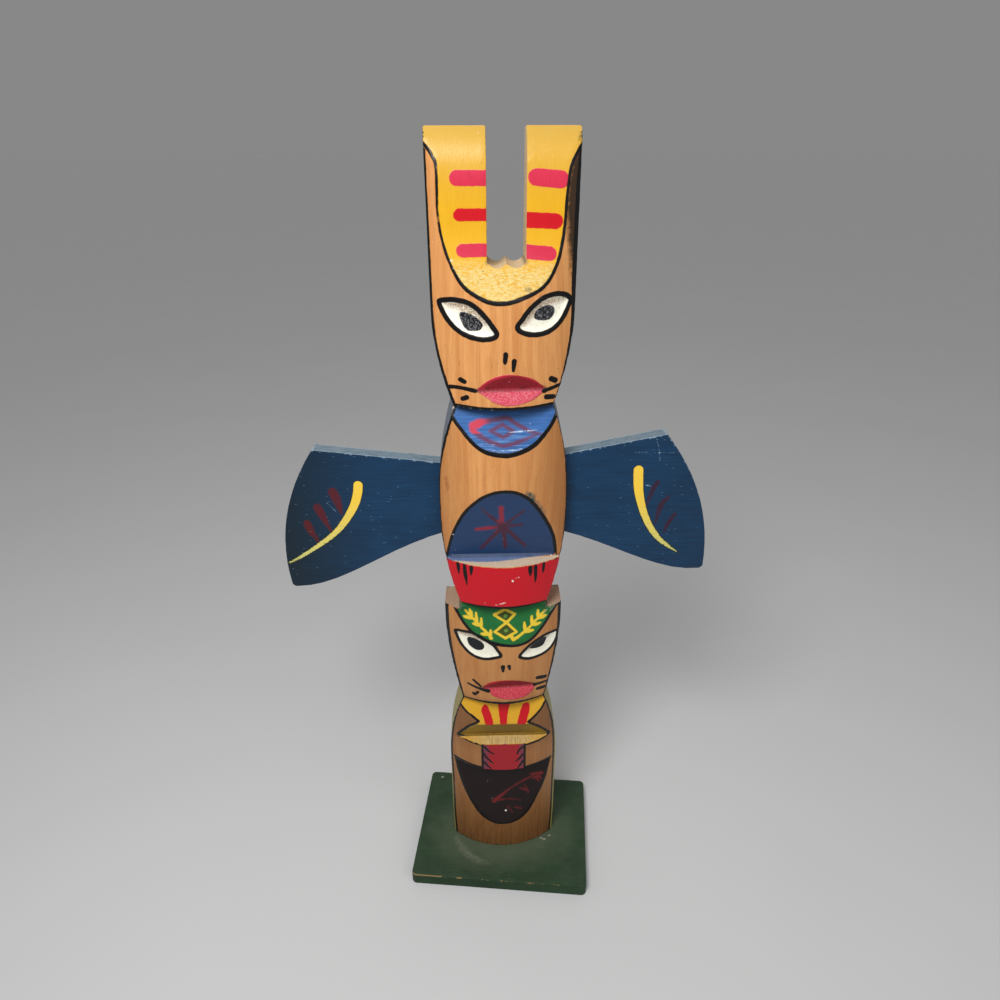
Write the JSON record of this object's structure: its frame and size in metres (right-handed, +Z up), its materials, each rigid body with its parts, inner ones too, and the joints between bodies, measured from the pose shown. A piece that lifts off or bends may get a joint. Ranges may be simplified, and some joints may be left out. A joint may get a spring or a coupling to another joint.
{
  "type": "totem pole",
  "caption": "Small carved and painted wooden totem pole with stacked animal heads, a winged board let into its back and a flat base plate to stand on.",
  "frame": {"origin": "middle of the base plate's underside, on the surface the object stands on", "axes": "+Z up along the pole, the carved faces look along -Y, the wings spread along X"},
  "size_m": [0.1646, 0.0668, 0.3056],
  "materials": {
    "green_base_paint": "dark green satin paint on wood, worn to bare wood along the front edge, dusty around the foot of the pole",
    "pole_wood": "warm tan softwood under clear satin varnish, with painted yellow, red, blue, green, cream and black areas",
    "blue_wing_paint": "deep blue satin paint on wood, with paler grey-blue edges and painted red and yellow strokes"
  },
  "bodies": {
    "root": {"base_plate": "green_base_paint", "carved_pole": "pole_wood", "wing_board": "blue_wing_paint"}
  },
  "joints": []
}
